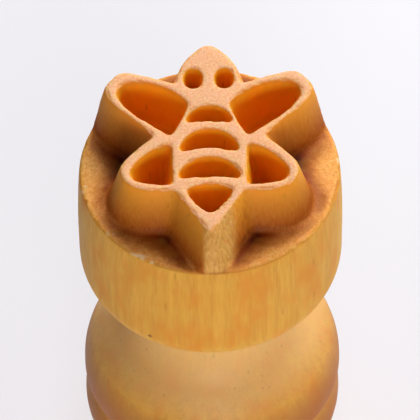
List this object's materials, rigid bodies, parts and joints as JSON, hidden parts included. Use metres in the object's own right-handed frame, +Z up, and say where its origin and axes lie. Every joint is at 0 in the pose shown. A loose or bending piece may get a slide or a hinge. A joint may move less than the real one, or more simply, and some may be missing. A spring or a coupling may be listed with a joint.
{
  "type": "butter stamp",
  "caption": "Small turned wooden butter stamp on a beaded grip, with a bee carved in relief into the end grain of its round head.",
  "frame": {"origin": "middle of the foot's flat base", "axes": "+Z up the turning axis towards the printing face, +Y towards the bee's head, +X towards the bee's wing on the viewer's right when its head points away"},
  "size_m": [0.0286, 0.0286, 0.072],
  "materials": {
    "head_wood": "oiled, end grain on the printing face",
    "handle_wood": "oiled, turned along the grain",
    "dowel_wood": "bare, fluted"
  },
  "bodies": {
    "root": {"stamp_head": "head_wood", "handle": "handle_wood", "joint_dowel": "dowel_wood"}
  },
  "joints": []
}
